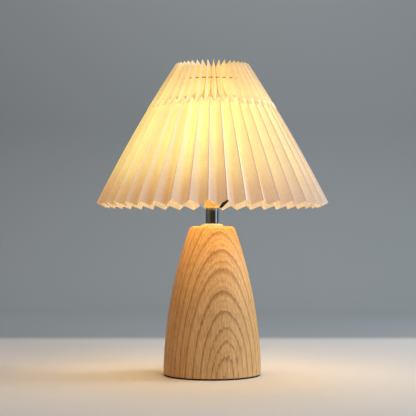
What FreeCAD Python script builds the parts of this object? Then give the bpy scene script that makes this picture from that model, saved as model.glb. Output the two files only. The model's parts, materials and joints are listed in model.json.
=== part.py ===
import FreeCAD, Part
import math
import os

# Pleated paper table lamp on a turned wooden cone. Millimetres, +Z up, the origin is the middle of the
# underside, and the side that is usually looked at faces -Y.

Vector = FreeCAD.Vector
UP = Vector(0, 0, 1)
CENTRE = Vector(0, 0, 0)

# Wooden base and the pad under it
base_height = 177.5  # top of the wood above the table
base_foot_radius = 58.4
base_waist_radius = 49.9  # half-way up
base_shoulder_radius = 26.4  # where the side would meet the top
shoulder_round = 6.0
foot_chamfer = 0.8
pad_thickness = 1.6
pad_inset = 0.5  # of the pad's edge from the wood's
recess_radius = 17.0
recess_depth = 30.0
rod_hole_play = 0.3  # round the rod, in everything it passes through loosely

# Cord hole at the back, with its bush
cord_hole_radius = 4.0
cord_hole_height = 15.0  # its axis above the table
bush_bore_radius = 3.0
bush_length = 12.0
bush_flange_radius = 6.0
bush_flange_thickness = 1.5
bush_play = 0.05
bush_setback = 0.6  # of the flange behind the wood's surface

# Hollow threaded rod that clamps the column, with its nuts and washer
rod_radius = 5.0
rod_bore_radius = 3.75
thread_play = 0.05
nut_across_flats = 14.0
nut_thickness = 4.0
lock_nut_thickness = 3.0
rod_end_below_nut = 3.0
rod_grip_in_holder = 8.0
washer_radius = 14.0
washer_thickness = 2.0

# Neck
collar_foot_radius = 13.5
collar_top_radius = 10.5
collar_height = 2.8
collar_bulge = 0.85  # of its side beyond a straight cone
collar_bulge_height = 1.7
neck_radius = 8.0
neck_wall = 1.0
neck_length = 19.2
cup_floor_radius = 12.0
cup_height = 20.5
cup_wall = 1.0
cup_slant = 45.0  # of its side, from level
cup_play = 0.8  # round the lampholder's slanting foot
cup_room = 3.0  # round the lampholder's straight side
cup_edge_round = 1.5

# Lampholder
holder_radius = 19.0
holder_wall = 2.0
cap_height = 18.3
cap_floor = 3.0
cap_boss_radius = 8.0
insert_seat_depth = 8.0  # below the top of the cap
insert_play = 0.2
insert_rim_height = 4.0
insert_rim_width = 1.0
shell_height = 26.0
shell_thread_radius = 19.5
shell_bore_radius = 16.0
shell_flange_radius = 22.5
shell_flange_thickness = 4.0
shell_flange_height = 4.0  # of its underside above the cap
screw_shell_wall = 0.5
screw_shell_height = 24.0
side_contact_thickness = 0.7
side_contact_height = 10.0
side_contact_angle = 24.0
contact_strip_length = 12.0
contact_strip_width = 5.0
contact_strip_thickness = 0.5
contact_strip_rise = 2.0
terminal_spacing = 22.0
terminal_head_radius = 2.3
terminal_head_height = 2.0
terminal_shank_radius = 1.25
terminal_shank_length = 5.0
terminal_slot_width = 0.8
terminal_slot_depth = 1.0
ring_nut_radius = 28.0
ring_nut_height = 8.0
ring_nut_skirt = 2.5
ring_nut_hub_radius = 22.5
grip_notch_radius = 1.6
grip_notch_count = 16

# Gap between things that move past each other, and how far a cutter goes past what it cuts
running_gap = 0.3
cut_overrun = 5.0
same_size = 0.01  # sizes closer than this are the same one

# Bulb
bulb_length = 104.0
globe_radius = 30.0
glass_thickness = 1.0
glass_neck_radius = 13.6
neck_blend_angle = 38.0  # where the neck's curve meets the globe, below its equator
bulb_cap_radius = 13.05
bulb_cap_wall = 0.4
bulb_cap_foot = 6.0  # above the tip of the contact
cap_foot_radius = 11.4
glass_in_cap = 4.0
contact_button_radius = 4.6
contact_button_height = 2.2
insulator_top = 8.0
insulator_lip = 0.6  # of the insulator round the contact
stem_foot_height = 14.0
stem_rod_radius = 1.6
stem_flare_radius = 3.2  # where the flared foot meets the rod
stem_disc_radius = 9.0
stem_disc_thickness = 1.0
filament_radius = 0.9
filament_length = 38.0
filament_circle_radius = 6.8
filament_count = 4
filament_foot = 52.0  # above the tip of the contact

# Shade: one strip of paper in pleats, with the fold lines square to its cut edges
pleat_count = 42
pleat_width = 16.0  # of the strip, from one fold to the next
paper_thickness = 0.4
shade_above_neck = 5.9  # of the rim's outer corners, over the top of the neck tube
rim_radius = 138.9
top_radius = 44.3
shade_rise = 166.9  # from the outer corners of the rim to the tips
shade_swell = 2.6  # of the outer folds beyond a straight cone
collar_along = 139.5  # from the rim to the pressed collar, along a fold
crest_run = 8.0  # along a fold, until an inner fold has come out to be an outer one
ledge_run = 12.0  # along a fold, until an outer fold has gone in to be an inner one
first_fold_angle = -92.0  # of an outer fold of the rim near the front, in degrees

# Cord that gathers the top of the shade
gather_height = 144.6  # above the outer corners of the rim
gather_radius = 50.5
gather_cord_radius = 0.6
gather_hole_radius = 1.1
gather_hole_sides = 6

# Wire carrier that holds the shade by its collar
wire_radius = 1.5
carrier_ring_bore_play = 0.4
carrier_foot_radius = 31.0
carrier_foot_thickness = 2.0
carrier_bend_radius = 8.0
carrier_bend_share = 0.8  # most of an arm's level run that its bend may take
carrier_knee_radius = 40.0  # how far out an arm goes before it rises
arm_count = 3
first_arm_angle = 90.0
throat_play = 0.6  # between the carrier's top ring and the inner folds that pass over it

# Heights above the table
wood_bottom = pad_thickness
recess_top = wood_bottom + recess_depth
collar_bottom = base_height
neck_bottom = collar_bottom + collar_height
neck_top = neck_bottom + neck_length
cup_floor_top = neck_top + cup_wall
cap_bottom = cup_floor_top + lock_nut_thickness
cap_top = cap_bottom + cap_height
rod_top = cap_bottom + rod_grip_in_holder
rod_bottom = recess_top - washer_thickness - nut_thickness - rod_end_below_nut
insert_bottom = cap_top - insert_seat_depth
insert_top = cap_top
flange_bottom = cap_top + shell_flange_height
flange_top = flange_bottom + shell_flange_thickness
shell_top = cap_top + shell_height
contact_top = insert_top + contact_strip_rise
bulb_tip = contact_top + running_gap
rim_height = neck_top + shade_above_neck
gather_level = rim_height + gather_height

loose_rod_radius = rod_radius + rod_hole_play
threaded_rod_radius = rod_radius + thread_play
screw_shell_radius = bulb_cap_radius + running_gap
half_pleat = math.pi / pleat_count
slant = math.radians(cup_slant)
cup_radius = holder_radius + cup_room + cup_wall
cup_flare = (cup_radius - cup_floor_radius) * math.tan(slant)  # height of the slanting part


def turned(*outline):
    """A solid turned about the axis. An (r, z) is a corner, and (r, z, r, z) an arc's middle and end."""
    points = [Vector(step[-2], 0, step[-1]) for step in outline]
    edges = []
    for index, step in enumerate(outline):
        start, end = points[index - 1], points[index]
        if start.isEqual(end, 1e-7):
            continue
        if len(step) == 4:
            edges.append(Part.Arc(start, Vector(step[0], 0, step[1]), end).toShape())
        else:
            edges.append(Part.LineSegment(start, end).toShape())
    return Part.Face(Part.Wire(Part.__sortEdges__(edges))).revolve(CENTRE, UP, 360)


def ring(inner, outer, bottom, top):
    return turned((inner, bottom), (outer, bottom), (outer, top), (inner, top))


def prism(sides, corner_radius, length, place, axis, first_corner):
    """A straight prism of even sides along an axis, its first corner in the direction given."""
    corners = []
    for index in range(sides + 1):
        turn = FreeCAD.Rotation(axis, 360.0 * index / sides)
        corners.append(place + turn.multVec(first_corner) * corner_radius)
    return Part.Face(Part.makePolygon(corners)).extrude(axis * length)


def hex_nut(bottom, thickness):
    """A hexagonal nut on the rod, with its corners turned down at both faces."""
    corner_radius = nut_across_flats / 2 / math.cos(math.pi / 6)
    lift = corner_radius - nut_across_flats / 2
    blank = prism(6, corner_radius, thickness, Vector(0, 0, bottom), UP, Vector(1, 0, 0))
    middle = bottom + thickness / 2
    bevels = turned(
        (threaded_rod_radius, bottom),
        (nut_across_flats / 2, bottom),
        (corner_radius, bottom + lift / 2),
        (corner_radius + lift, middle),
        (corner_radius, bottom + thickness - lift / 2),
        (nut_across_flats / 2, bottom + thickness),
        (threaded_rod_radius, bottom + thickness),
    )
    return blank.common(bevels)


def around(shape, angles):
    """Copies of a shape turned about the lamp's axis."""
    copies = []
    for angle in angles:
        copy = shape.copy()
        copy.rotate(CENTRE, UP, angle)
        copies.append(copy)
    return copies


def even_angles(count, first=0.0):
    return [first + 360.0 * index / count for index in range(count)]


# ---- Base ----


def side_radius(height):
    """The radius of the wooden cone's side at a height, on the arc through its foot, waist and shoulder."""
    side = Part.Arc(*side_points())
    flat = Part.LineSegment(Vector(0, 0, height), Vector(2 * base_foot_radius, 0, height))
    return side.toShape().distToShape(flat.toShape())[1][0][0].x


def side_points():
    return (
        Vector(base_foot_radius, 0, wood_bottom),
        Vector(base_waist_radius, 0, (wood_bottom + base_height) / 2),
        Vector(base_shoulder_radius, 0, base_height),
    )


def rear_hole(radius, start, end):
    return Part.makeCylinder(radius, end - start, Vector(0, start, cord_hole_height), Vector(0, 1, 0))


def make_wooden_base():
    foot, waist, shoulder = side_points()
    wood = turned(
        (loose_rod_radius, base_height),
        (loose_rod_radius, recess_top),
        (recess_radius, recess_top),
        (recess_radius, wood_bottom),
        (foot.x, foot.z),
        (waist.x, waist.z, shoulder.x, shoulder.z),
    )
    edges = [edge for edge in wood.Edges if edge.Curve.TypeId == "Part::GeomCircle"]
    shoulders = [e for e in edges if abs(e.Curve.Radius - shoulder.x) < same_size]
    wood = wood.makeFillet(shoulder_round, shoulders)
    feet = [
        e
        for e in wood.Edges
        if e.Curve.TypeId == "Part::GeomCircle" and abs(e.Curve.Radius - foot.x) < same_size
    ]
    wood = wood.makeChamfer(foot_chamfer, feet)
    outside = base_foot_radius + cut_overrun
    wood = wood.cut(rear_hole(cord_hole_radius, recess_radius - cut_overrun, outside))
    seat = flange_face() - bush_flange_thickness
    return wood.cut(rear_hole(bush_flange_radius + bush_play, seat, outside))


def flange_face():
    """How far back the outer face of the cord bush lies."""
    return side_radius(cord_hole_height) - bush_setback


def make_cord_bush():
    face = flange_face()
    flange = rear_hole(bush_flange_radius, face - bush_flange_thickness, face)
    barrel = rear_hole(cord_hole_radius - bush_play, face - bush_length, face)
    bore = rear_hole(bush_bore_radius, face - bush_length - cut_overrun, face + cut_overrun)
    return flange.fuse(barrel).cut(bore).removeSplitter()


def make_foot_pad():
    return Part.makeCylinder(base_foot_radius - foot_chamfer - pad_inset, pad_thickness)


# ---- Neck ----


def make_neck_collar():
    dome_radius = (collar_foot_radius + collar_top_radius) / 2 + collar_bulge
    return turned(
        (loose_rod_radius, neck_bottom),
        (loose_rod_radius, collar_bottom),
        (collar_foot_radius, collar_bottom),
        (dome_radius, collar_bottom + collar_bulge_height, collar_top_radius, neck_bottom),
    )


def make_neck_tube():
    return ring(neck_radius - neck_wall, neck_radius, neck_bottom, neck_top)


def make_socket_cup():
    """A spun cup: a flat floor, a slanting side and a straight rim, of one thickness."""
    inner_corner = cup_wall * math.tan(slant / 2)
    upper_corner = cup_wall * math.tan((math.pi / 2 - slant) / 2)
    cup = turned(
        (loose_rod_radius, neck_top),
        (cup_floor_radius, neck_top),
        (cup_radius, neck_top + cup_flare),
        (cup_radius, neck_top + cup_height),
        (cup_radius - cup_wall, neck_top + cup_height),
        (cup_radius - cup_wall, neck_top + cup_flare + upper_corner),
        (cup_floor_radius - inner_corner, cup_floor_top),
        (loose_rod_radius, cup_floor_top),
    )
    bends = [
        edge
        for edge in cup.Edges
        if edge.Curve.TypeId == "Part::GeomCircle"
        and (
            abs(edge.Curve.Radius - cup_floor_radius) < same_size
            or (
                abs(edge.Curve.Radius - cup_radius) < same_size
                and edge.CenterOfMass.z < neck_top + cup_flare + same_size
            )
        )
    ]
    return cup.makeFillet(cup_edge_round, bends)


def cup_side(height):
    """The radius inside the cup's slanting part at a height."""
    return cup_floor_radius + (height - neck_top) / math.tan(slant) - cup_wall / math.sin(slant)


def make_threaded_tube():
    return ring(rod_bore_radius, rod_radius, rod_bottom, rod_top)


# ---- Lampholder ----


def make_lampholder_cap():
    inside = holder_radius - holder_wall
    ledge = inside - holder_wall
    foot = cup_side(cap_bottom) - cup_play
    side_start = cap_bottom + (holder_radius - foot) * math.tan(slant)
    return turned(
        (threaded_rod_radius, cap_bottom),
        (foot, cap_bottom),
        (holder_radius, side_start),
        (holder_radius, cap_top),
        (inside, cap_top),
        (inside, insert_bottom),
        (ledge, insert_bottom),
        (ledge, side_start),
        (ledge - side_start + cap_bottom + cap_floor, cap_bottom + cap_floor),
        (cap_boss_radius, cap_bottom + cap_floor),
        (cap_boss_radius, rod_top),
        (threaded_rod_radius, rod_top),
    )


def terminal_places():
    return [Vector(side * terminal_spacing / 2, 0, insert_bottom) for side in (-1, 1)]


def make_lampholder_insert():
    radius = holder_radius - holder_wall - insert_play
    rim = shell_bore_radius - insert_play
    block = turned(
        (0, insert_bottom),
        (radius, insert_bottom),
        (radius, insert_top),
        (rim, insert_top),
        (rim, insert_top + insert_rim_height),
        (rim - insert_rim_width, insert_top + insert_rim_height),
        (rim - insert_rim_width, insert_top),
        (0, insert_top),
    )
    for place in terminal_places():
        hole = Part.makeCylinder(terminal_shank_radius + thread_play, terminal_shank_length, place)
        block = block.cut(hole)
    return block


def make_terminal_screws():
    screws = []
    for place in terminal_places():
        head_place = place - UP * terminal_head_height
        head = Part.makeCylinder(terminal_head_radius, terminal_head_height, head_place)
        shank = Part.makeCylinder(terminal_shank_radius, terminal_shank_length, place)
        slot = Part.makeBox(4 * terminal_head_radius, terminal_slot_width, terminal_slot_depth)
        slot.translate(head_place - Vector(2 * terminal_head_radius, terminal_slot_width / 2, 0))
        screws.append(head.fuse(shank).cut(slot).removeSplitter())
    return Part.makeCompound(screws)


def make_lampholder_shell():
    return turned(
        (shell_bore_radius, cap_top),
        (holder_radius, cap_top),
        (holder_radius, flange_bottom),
        (shell_flange_radius, flange_bottom),
        (shell_flange_radius, flange_top),
        (shell_thread_radius, flange_top),
        (shell_thread_radius, shell_top),
        (shell_bore_radius, shell_top),
    )


def make_screw_shell():
    outer = screw_shell_radius + screw_shell_wall
    return ring(screw_shell_radius, outer, insert_top, insert_top + screw_shell_height)


def make_side_contact():
    inner = screw_shell_radius + screw_shell_wall
    blank = ring(inner, inner + side_contact_thickness, insert_top, insert_top + side_contact_height)
    reach = 2 * inner
    half_width = reach * math.tan(math.radians(side_contact_angle / 2))
    wedge = Part.Face(
        Part.makePolygon(
            [
                Vector(0, 0, insert_top),
                Vector(half_width, reach, insert_top),
                Vector(-half_width, reach, insert_top),
                Vector(0, 0, insert_top),
            ]
        )
    ).extrude(UP * side_contact_height)
    return blank.common(wedge)


def make_centre_contact():
    """A sprung strip: a foot on the insert, a slanting leaf and a flat pad under the bulb."""
    half = contact_strip_length / 2
    pad = contact_strip_width / 2
    upper = contact_top - contact_strip_thickness
    outline = [
        Vector(-half, 0, insert_top),
        Vector(-half, 0, insert_top + contact_strip_thickness),
        Vector(-pad, 0, contact_top),
        Vector(pad, 0, contact_top),
        Vector(pad, 0, upper),
        Vector(-pad, 0, upper),
        Vector(-half + 2 * contact_strip_thickness, 0, insert_top),
        Vector(-half, 0, insert_top),
    ]
    strip = Part.Face(Part.makePolygon(outline)).extrude(Vector(0, contact_strip_width, 0))
    strip.translate(Vector(0, -contact_strip_width / 2, 0))
    return strip


def make_shade_ring_nut():
    bottom = flange_top + carrier_foot_thickness
    top = bottom + ring_nut_height
    bore = shell_thread_radius + thread_play
    nut = turned(
        (bore, bottom),
        (ring_nut_radius, bottom),
        (ring_nut_radius, bottom + ring_nut_skirt),
        (ring_nut_hub_radius, bottom + ring_nut_skirt),
        (ring_nut_hub_radius, top),
        (bore, top),
    )
    notch = Part.makeCylinder(
        grip_notch_radius, ring_nut_skirt, Vector(ring_nut_radius + grip_notch_radius / 2, 0, bottom)
    )
    return nut.cut(Part.makeCompound(around(notch, even_angles(grip_notch_count))))


# ---- Bulb ----


def envelope_outline(inset):
    """Steps up the bulb's glass, from the neck to the tip, for a skin that lies inset from the outside."""
    angle = math.radians(neck_blend_angle)
    globe_centre = bulb_tip + bulb_length - globe_radius
    blend = (globe_radius * math.cos(angle) - glass_neck_radius) / (1 - math.cos(angle))
    neck_start = globe_centre - (globe_radius + blend) * math.sin(angle)
    blend_centre = glass_neck_radius + blend
    radius, hollow = globe_radius - inset, blend + inset
    join = (radius * math.cos(angle), globe_centre - radius * math.sin(angle))
    half_way = (
        blend_centre - hollow * math.cos(angle / 2),
        neck_start + hollow * math.sin(angle / 2),
    )
    rise = (math.pi / 2 - angle) / 2
    side = (radius * math.cos(rise), globe_centre + radius * math.sin(rise))
    return [
        (glass_neck_radius - inset, neck_start),
        (*half_way, *join),
        (*side, 0, globe_centre + radius),
    ]


def neck_start_height():
    return envelope_outline(0)[0][1]


def make_bulb_globe():
    """A glass envelope whose neck steps in to stand inside the metal cap."""
    outer, inner = envelope_outline(0), envelope_outline(glass_thickness)
    step = bulb_cap_radius - bulb_cap_wall - thread_play
    bore = step - glass_thickness
    foot = neck_start_height() - glass_in_cap
    shoulder = neck_start_height()
    solid = turned((0, foot), (step, foot), (step, shoulder), *outer)
    hollow = turned(
        (0, foot - cut_overrun),
        (bore, foot - cut_overrun),
        (bore, shoulder + glass_thickness),
        inner[1],
        inner[2],
    )
    return solid.cut(hollow)


def make_bulb_cap():
    top = neck_start_height()
    foot = bulb_tip + bulb_cap_foot
    inside = bulb_cap_radius - bulb_cap_wall
    bend = bulb_cap_radius - cap_foot_radius
    return turned(
        (cap_foot_radius, foot),
        (bulb_cap_radius, foot + bend),
        (bulb_cap_radius, top),
        (inside, top),
        (inside, foot + bend + bulb_cap_wall / 2),
        (cap_foot_radius, foot + bulb_cap_wall * math.sqrt(2)),
    )


def make_bulb_insulator():
    return turned(
        (0, bulb_tip + contact_button_height),
        (contact_button_radius + insulator_lip, bulb_tip + contact_button_height),
        (cap_foot_radius, bulb_tip + bulb_cap_foot),
        (cap_foot_radius, bulb_tip + insulator_top),
        (0, bulb_tip + insulator_top),
    )


def make_bulb_contact():
    edge = contact_button_radius - contact_button_height / 2
    return turned(
        (0, bulb_tip),
        (edge, bulb_tip),
        (contact_button_radius, bulb_tip + contact_button_height / 2),
        (contact_button_radius, bulb_tip + contact_button_height),
        (0, bulb_tip + contact_button_height),
    )


def make_bulb_stem():
    """The glass stem, from inside the neck up to the disc that holds the tops of the filaments."""
    foot = neck_start_height() - glass_in_cap
    lower_disc = bulb_tip + filament_foot
    upper_disc = lower_disc + filament_length
    foot_radius = bulb_cap_radius - bulb_cap_wall - thread_play - glass_thickness
    return turned(
        (0, foot),
        (foot_radius, foot),
        (foot_radius, foot + stem_disc_thickness),
        (stem_flare_radius, foot + stem_foot_height),
        (stem_rod_radius, foot + stem_foot_height + stem_rod_radius),
        (stem_rod_radius, lower_disc - stem_disc_thickness),
        (stem_disc_radius, lower_disc - stem_disc_thickness),
        (stem_disc_radius, lower_disc),
        (stem_rod_radius, lower_disc),
        (stem_rod_radius, upper_disc),
        (stem_disc_radius, upper_disc),
        (stem_disc_radius, upper_disc + stem_disc_thickness),
        (0, upper_disc + stem_disc_thickness),
    )


def make_bulb_filaments():
    place = Vector(filament_circle_radius, 0, bulb_tip + filament_foot)
    stick = Part.makeCylinder(filament_radius, filament_length, place)
    return Part.makeCompound(around(stick, even_angles(filament_count)))


# ---- Shade ----


class FoldLine:
    """The arc of an outer fold in a plane through the axis, and the frame across it."""

    def __init__(self):
        run = rim_radius - top_radius
        chord = math.hypot(run, shade_rise)
        self.radius = (chord**2 / 4 + shade_swell**2) / (2 * shade_swell)
        outward = (shade_rise / chord, run / chord)
        back = self.radius - shade_swell
        self.centre = (
            (rim_radius + top_radius) / 2 - outward[0] * back,
            rim_height + shade_rise / 2 - outward[1] * back,
        )
        self.first = math.atan2(rim_height - self.centre[1], rim_radius - self.centre[0])
        last = math.atan2(rim_height + shade_rise - self.centre[1], top_radius - self.centre[0])
        self.length = self.radius * (last - self.first)

    def across(self, along):
        """The point (r, z) on the fold that far along it, and the direction straight into the shade."""
        angle = self.first + along / self.radius
        inward = (-math.cos(angle), -math.sin(angle))
        point = (
            self.centre[0] - self.radius * inward[0],
            self.centre[1] - self.radius * inward[1],
        )
        return point, inward

    def depths(self, along):
        """How deep an inner fold lies, and what the paper adds to it at an outer and at an inner fold."""
        (radius, height), inward = self.across(along)
        spread = 1 - math.cos(half_pleat)
        lean = -inward[0] * radius * spread
        depth = lean + math.sqrt(lean**2 - 2 * radius**2 * spread + pleat_width**2)
        inner_radius = radius + inward[0] * depth
        at_outer = paper_thickness * pleat_width / (inner_radius * math.sin(half_pleat))
        at_inner = paper_thickness * pleat_width / (radius * math.sin(half_pleat))
        return depth, at_outer, at_inner

    def outer(self, along, skin):
        """(r, z) of an outer fold, on the outer skin (0) or the inner skin (1)."""
        point, inward = self.across(along)
        shift = skin * self.depths(along)[1]
        return (point[0] + inward[0] * shift, point[1] + inward[1] * shift)

    def inner(self, along, skin):
        """(r, z) of an inner fold, on the outer skin (0) or the inner skin (1)."""
        point, inward = self.across(along)
        depth, _, thicker = self.depths(along)
        shift = depth + skin * thicker
        return (point[0] + inward[0] * shift, point[1] + inward[1] * shift)


fold_line = FoldLine()


def in_plane(place, angle):
    """A point (r, z) in the plane through the axis at an angle in radians."""
    return Vector(place[0] * math.cos(angle), place[0] * math.sin(angle), place[1])


def fold_edge(line, start, end, skin, angle):
    """The arc of a fold between two distances along it."""
    stops = [start, (start + end) / 2, end]
    return Part.Arc(*[in_plane(line(stop, skin), angle) for stop in stops]).toShape()


def flat(*corners):
    return Part.Face(Part.makePolygon([*corners, corners[0]]))


def half_pleat_faces():
    """The skins and cut edges of one panel, from an outer fold of the rim to the inner fold beside it."""
    top = fold_line.length
    crest, ledge = collar_along + crest_run, collar_along + ledge_run
    faces = []
    corners = []
    for skin in (0, 1):
        rim_outer = fold_edge(fold_line.outer, 0, collar_along, skin, 0)
        rim_inner = fold_edge(fold_line.inner, 0, collar_along, skin, half_pleat)
        top_outer = fold_edge(fold_line.outer, crest, top, skin, half_pleat)
        top_inner = fold_edge(fold_line.inner, ledge, top, skin, 0)
        peak = in_plane(fold_line.outer(collar_along, skin), 0)
        throat = in_plane(fold_line.inner(collar_along, skin), half_pleat)
        crest_point = in_plane(fold_line.outer(crest, skin), half_pleat)
        ledge_point = in_plane(fold_line.inner(ledge, skin), 0)
        faces.append(Part.makeRuledSurface(rim_outer, rim_inner))
        faces.append(Part.makeRuledSurface(top_outer, top_inner))
        faces.append(flat(peak, throat, crest_point))
        faces.append(flat(peak, crest_point, ledge_point))
        corners.append(
            (
                in_plane(fold_line.outer(0, skin), 0),
                in_plane(fold_line.inner(0, skin), half_pleat),
                in_plane(fold_line.outer(top, skin), half_pleat),
                in_plane(fold_line.inner(top, skin), 0),
            )
        )
    for first, second in ((0, 1), (2, 3)):
        cut_edges = [
            Part.LineSegment(corners[skin][first], corners[skin][second]).toShape() for skin in (0, 1)
        ]
        faces.append(Part.makeRuledSurface(*cut_edges))
    return faces


def fold_plane_face(angle, rim_line, top_line, top_start):
    """The section of the paper in the plane of a fold, which closes one panel there."""
    edges = []
    ends = []
    for skin in (0, 1):
        lower = fold_edge(rim_line, 0, collar_along, skin, angle)
        upper = fold_edge(top_line, top_start, fold_line.length, skin, angle)
        rim_end = in_plane(rim_line(0, skin), angle)
        collar_end = in_plane(rim_line(collar_along, skin), angle)
        top_begin = in_plane(top_line(top_start, skin), angle)
        tip = in_plane(top_line(fold_line.length, skin), angle)
        edges += [lower, Part.LineSegment(collar_end, top_begin).toShape(), upper]
        ends.append((rim_end, tip))
    for end in (0, 1):
        edges.append(Part.LineSegment(ends[0][end], ends[1][end]).toShape())
    return Part.Face(Part.Wire(Part.__sortEdges__(edges)))


def sewn_solid(faces):
    sheet = Part.makeCompound(faces)
    sheet.sewShape()
    solid = Part.Solid(sheet.Shells[0])
    if solid.Volume < 0:
        solid.reverse()
    return solid


def gather_punch():
    """The punch that goes through one upper pleat, square to its outer fold."""
    across = in_plane((1, 0), half_pleat - math.pi / 2)
    start = in_plane((gather_radius, gather_level), half_pleat)
    return prism(gather_hole_sides, gather_hole_radius, pleat_width / 2, start, across, UP)


def lies_in_fold_plane(face):
    """True for a face that only closes a panel, in one of the two planes through the axis beside it."""
    for angle in (0, half_pleat):
        normal = Vector(-math.sin(angle), math.cos(angle), 0)
        if all(abs(vertex.Point.dot(normal)) < 1e-5 for vertex in face.Vertexes):
            return True
    return False


def make_pleated_shade():
    """One panel is made and punched, mirrored into a pleat, repeated and sewn into a ring."""
    crest, ledge = collar_along + crest_run, collar_along + ledge_run
    closing = [
        fold_plane_face(0, fold_line.outer, fold_line.inner, ledge),
        fold_plane_face(half_pleat, fold_line.inner, fold_line.outer, crest),
    ]
    panel = sewn_solid(half_pleat_faces() + closing).cut(gather_punch())
    skins = [face for face in panel.Faces if not lies_in_fold_plane(face)]
    half = Part.makeCompound(skins)
    pleat = Part.makeCompound([half, half.mirror(CENTRE, Vector(0, 1, 0))])
    return sewn_solid(
        [face for copy in around(pleat, even_angles(pleat_count, first_fold_angle)) for face in copy.Faces]
    )


def make_gather_cord():
    return Part.makeTorus(gather_radius, gather_cord_radius, Vector(0, 0, gather_level))


# ---- Wire carrier ----


def top_ring_place():
    """(r, z) of the wire of the carrier's top ring, under the ledge of the collar and inside its throat."""
    throat = fold_line.inner(collar_along, 1)
    radius = throat[0] - throat_play - wire_radius
    peak = fold_line.outer(collar_along, 1)
    ledge = fold_line.inner(collar_along + ledge_run, 1)
    slope = (ledge[1] - peak[1]) / (ledge[0] - peak[0])
    height = peak[1] + slope * (radius - peak[0])
    return radius, height - (wire_radius + running_gap) * math.hypot(1, slope)


def make_carrier_foot_ring():
    bore = shell_thread_radius + carrier_ring_bore_play
    return ring(bore, carrier_foot_radius, flange_top, flange_top + carrier_foot_thickness)


def make_carrier_top_ring():
    radius, height = top_ring_place()
    return Part.makeTorus(radius, wire_radius, Vector(0, 0, height))


def make_carrier_arms():
    """Bent wires from the edge of the foot ring, out under the bulb and up to the top ring."""
    level = flange_top + carrier_foot_thickness / 2
    ring_radius, ring_height = top_ring_place()
    start = Vector(carrier_foot_radius - wire_radius / 2, 0, level)
    knee = Vector(carrier_knee_radius, 0, level)
    end = Vector(ring_radius, 0, ring_height)
    rise = (end - knee).normalize()
    out = (start - knee).normalize()
    half_angle = rise.getAngle(out) / 2
    setback = min(carrier_bend_radius / math.tan(half_angle), carrier_bend_share * (knee - start).Length)
    bend_radius = setback * math.tan(half_angle)
    bend_start, bend_end = knee + out * setback, knee + rise * setback
    halfway = (rise + out).normalize()
    bend_middle = knee + halfway * (bend_radius / math.sin(half_angle) - bend_radius)
    path = Part.Wire(
        [
            Part.LineSegment(start, bend_start).toShape(),
            Part.Arc(bend_start, bend_middle, bend_end).toShape(),
            Part.LineSegment(bend_end, end).toShape(),
        ]
    )
    section = Part.Wire([Part.makeCircle(wire_radius, start, Vector(1, 0, 0))])
    arm = path.makePipeShell([section], True, True)
    arm = arm.cut(make_carrier_foot_ring()).cut(make_carrier_top_ring())
    arm = max(arm.Solids, key=lambda solid: solid.Volume)
    return Part.makeCompound(around(arm, even_angles(arm_count, first_arm_angle)))


pieces = {
    "foot_pad": make_foot_pad(),
    "wooden_base": make_wooden_base(),
    "cord_bush": make_cord_bush(),
    "base_nut": hex_nut(recess_top - washer_thickness - nut_thickness, nut_thickness),
    "base_washer": ring(loose_rod_radius, washer_radius, recess_top - washer_thickness, recess_top),
    "threaded_tube": make_threaded_tube(),
    "neck_collar": make_neck_collar(),
    "neck_tube": make_neck_tube(),
    "socket_cup": make_socket_cup(),
    "cup_nut": hex_nut(cup_floor_top, lock_nut_thickness),
    "lampholder_cap": make_lampholder_cap(),
    "lampholder_insert": make_lampholder_insert(),
    "lampholder_shell": make_lampholder_shell(),
    "screw_shell": make_screw_shell(),
    "centre_contact": make_centre_contact(),
    "side_contact": make_side_contact(),
    "terminal_screws": make_terminal_screws(),
    "carrier_foot_ring": make_carrier_foot_ring(),
    "carrier_arms": make_carrier_arms(),
    "carrier_top_ring": make_carrier_top_ring(),
    "shade_ring_nut": make_shade_ring_nut(),
    "pleated_shade": make_pleated_shade(),
    "gather_cord": make_gather_cord(),
    "bulb_globe": make_bulb_globe(),
    "bulb_stem": make_bulb_stem(),
    "bulb_filaments": make_bulb_filaments(),
    "bulb_cap": make_bulb_cap(),
    "bulb_insulator": make_bulb_insulator(),
    "bulb_contact": make_bulb_contact(),
}

os.makedirs("parts", exist_ok=True)
for name, shape in pieces.items():
    shape.exportStep(f"parts/{name}.step")
    print(name, "valid" if shape.isValid() else "NOT VALID", len(shape.Solids), round(shape.Volume, 1))
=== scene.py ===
import json
import math
import random

import bmesh
import bpy
from mathutils import Euler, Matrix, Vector


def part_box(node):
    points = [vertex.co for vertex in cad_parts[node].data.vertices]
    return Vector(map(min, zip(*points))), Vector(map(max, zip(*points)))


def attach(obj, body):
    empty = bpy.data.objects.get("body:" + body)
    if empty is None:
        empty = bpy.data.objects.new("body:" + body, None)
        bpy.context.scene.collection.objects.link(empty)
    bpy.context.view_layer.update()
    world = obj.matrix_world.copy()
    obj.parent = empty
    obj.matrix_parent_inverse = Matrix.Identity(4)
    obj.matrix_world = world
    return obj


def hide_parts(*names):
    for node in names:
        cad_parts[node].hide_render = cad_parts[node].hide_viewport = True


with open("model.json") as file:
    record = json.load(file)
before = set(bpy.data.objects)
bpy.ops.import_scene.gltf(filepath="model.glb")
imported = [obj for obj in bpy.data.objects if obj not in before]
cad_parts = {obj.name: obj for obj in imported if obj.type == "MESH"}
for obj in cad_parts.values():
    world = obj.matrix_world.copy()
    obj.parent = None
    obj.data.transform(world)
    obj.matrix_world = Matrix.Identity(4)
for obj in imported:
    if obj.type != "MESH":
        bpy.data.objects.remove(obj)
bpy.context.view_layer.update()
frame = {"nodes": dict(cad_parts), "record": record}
scene = bpy.context.scene
millimetre = 0.001
fullTurn = 2 * math.pi


def linear(channel):
    # A channel of 0 to 255 on the usual screen curve, as a share of linear light
    share = channel / 255
    return share / 12.92 if share <= 0.04045 else ((share + 0.055) / 1.055) ** 2.4


def paint(red, green, blue):
    return (linear(red), linear(green), linear(blue), 1.0)


def dimmed(shade, share):
    return tuple(channel * share for channel in shade[:3]) + (1.0,)


# Shader helpers. An input is a value, or the output that feeds it.

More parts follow.
